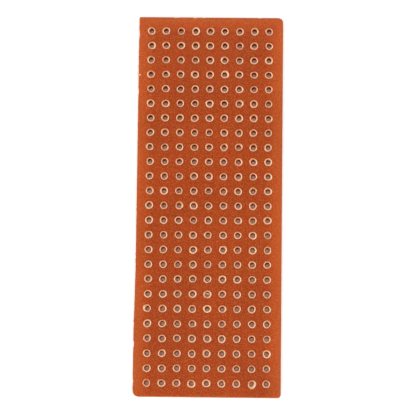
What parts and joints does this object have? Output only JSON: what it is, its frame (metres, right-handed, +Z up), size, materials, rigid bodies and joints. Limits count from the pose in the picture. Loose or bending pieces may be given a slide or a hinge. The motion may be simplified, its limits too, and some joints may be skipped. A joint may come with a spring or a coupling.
{
  "type": "prototype board",
  "caption": "Strip of orange-brown punched laminate with a square grid of small lead holes, pale broken-out rings around them, and a round copper pad under each hole.",
  "frame": {"origin": "under the middle of the board, in the plane of the lower faces of the copper pads, on the surface it lies on", "axes": "+Z up, out of the component side; +Y along the rows of holes towards the end with the nearly square sawn corner; +X across the columns, away from the sawn edge"},
  "size_m": [0.0252, 0.0656, 0.0016],
  "materials": {
    "laminate": "paper-phenolic laminate, pressed satin surface",
    "copper": "rolled copper foil under clear flux lacquer"
  },
  "bodies": {
    "root": {"laminate": "laminate", "pads_row_01": "copper", "pads_row_02": "copper", "pads_row_03": "copper", "pads_row_04": "copper", "pads_row_05": "copper", "pads_row_06": "copper", "pads_row_07": "copper", "pads_row_08": "copper", "pads_row_09": "copper", "pads_row_10": "copper", "pads_row_11": "copper", "pads_row_12": "copper", "pads_row_13": "copper", "pads_row_14": "copper", "pads_row_15": "copper", "pads_row_16": "copper", "pads_row_17": "copper", "pads_row_18": "copper", "pads_row_19": "copper", "pads_row_20": "copper", "pads_row_21": "copper", "pads_row_22": "copper", "pads_row_23": "copper", "pads_row_24": "copper", "pads_row_25": "copper"}
  },
  "joints": []
}
